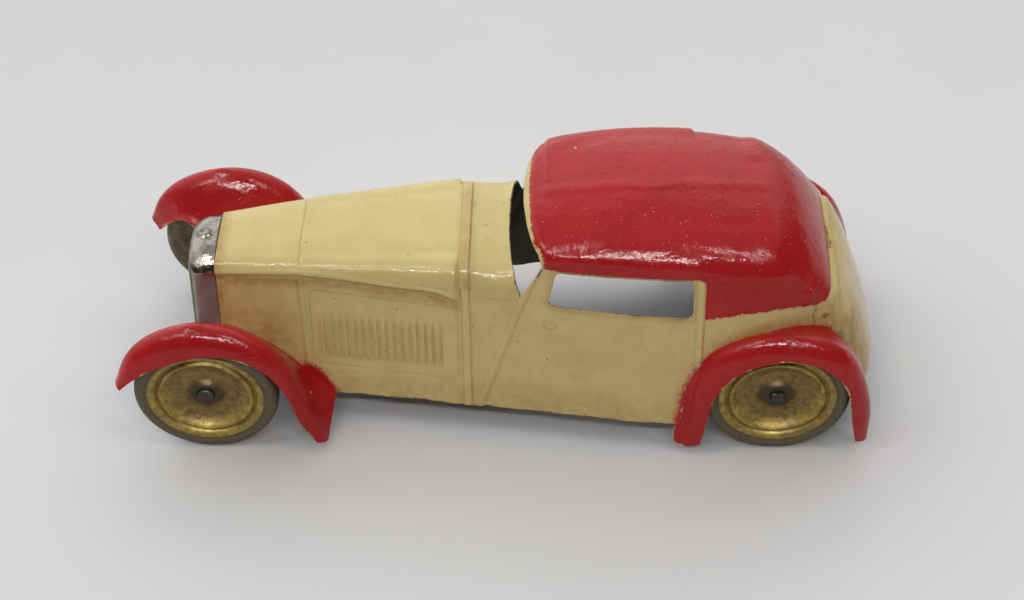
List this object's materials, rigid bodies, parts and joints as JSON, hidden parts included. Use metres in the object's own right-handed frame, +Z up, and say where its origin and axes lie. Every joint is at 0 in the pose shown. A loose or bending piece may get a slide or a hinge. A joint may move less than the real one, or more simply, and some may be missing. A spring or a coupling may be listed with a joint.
{
  "type": "friction tin car",
  "caption": "Pressed-tin two-tone saloon toy car with a long louvred bonnet, swept wings, plated radiator, dished tin wheels and a flywheel friction motor geared to the rear axle.",
  "frame": {"origin": "on the ground, under the middle of the car's bounding box", "axes": "+X towards the radiator, +Y to the car's left, +Z up"},
  "size_m": [0.132, 0.0472, 0.0444],
  "materials": {
    "body_paint": "glossy cream enamel, red on the wings and the roof, chipped and aged",
    "nickel_plate": "worn nickel plate, rippled",
    "dark_tin": "dull tarnished tinplate",
    "gold_lacquer": "thin gold lacquer over tin, rubbed",
    "axle_steel": "darkened steel wire",
    "gear_brass": "stamped brass, dull",
    "flywheel_iron": "bare cast metal, dark"
  },
  "bodies": {
    "car": {"body_shell": "body_paint", "tail_panel": "body_paint", "radiator_shell": "nickel_plate", "radiator_grille": "dark_tin", "front_axle": "axle_steel", "motor_plate_left": "dark_tin", "motor_plate_right": "dark_tin", "motor_hanger": "dark_tin", "motor_pillar_1": "axle_steel", "motor_pillar_2": "axle_steel", "motor_pillar_3": "axle_steel"},
    "front_left_wheel": {"front_left_wheel_disc": "gold_lacquer", "front_left_wheel_back": "dark_tin"},
    "front_right_wheel": {"front_right_wheel_disc": "gold_lacquer", "front_right_wheel_back": "dark_tin"},
    "rear_axle_set": {"rear_axle": "axle_steel", "rear_left_wheel_disc": "gold_lacquer", "rear_left_wheel_back": "dark_tin", "rear_right_wheel_disc": "gold_lacquer", "rear_right_wheel_back": "dark_tin", "axle_gear": "gear_brass"},
    "idler": {"idler_spindle": "axle_steel", "idler_pinion": "gear_brass", "idler_gear": "gear_brass"},
    "flywheel_set": {"flywheel_spindle": "axle_steel", "flywheel_pinion": "gear_brass", "flywheel": "flywheel_iron"}
  },
  "joints": [
    {"name": "front_left_wheel_spin", "type": "hinge", "parent": "car", "child": "front_left_wheel", "pos_m": [0.05086, 0.0198, 0.0125], "axis": [0, 1, 0], "continuous": true},
    {"name": "front_right_wheel_spin", "type": "hinge", "parent": "car", "child": "front_right_wheel", "pos_m": [0.05086, -0.0198, 0.0125], "axis": [0, 1, 0], "continuous": true},
    {"name": "rear_axle_spin", "type": "hinge", "parent": "car", "child": "rear_axle_set", "pos_m": [-0.04734, 0, 0.0125], "axis": [0, 1, 0], "continuous": true},
    {"name": "idler_spin", "type": "hinge", "parent": "car", "child": "idler", "pos_m": [-0.04487, 0, 0.02011], "axis": [0, 1, 0], "continuous": true},
    {"name": "flywheel_spin", "type": "hinge", "parent": "car", "child": "flywheel_set", "pos_m": [-0.04825, 0, 0.02736], "axis": [0, 1, 0], "continuous": true}
  ],
  "couplings": [
    {"joint": "idler_spin", "follows": "rear_axle_spin", "ratio": -3},
    {"joint": "flywheel_spin", "follows": "rear_axle_spin", "ratio": 9}
  ]
}
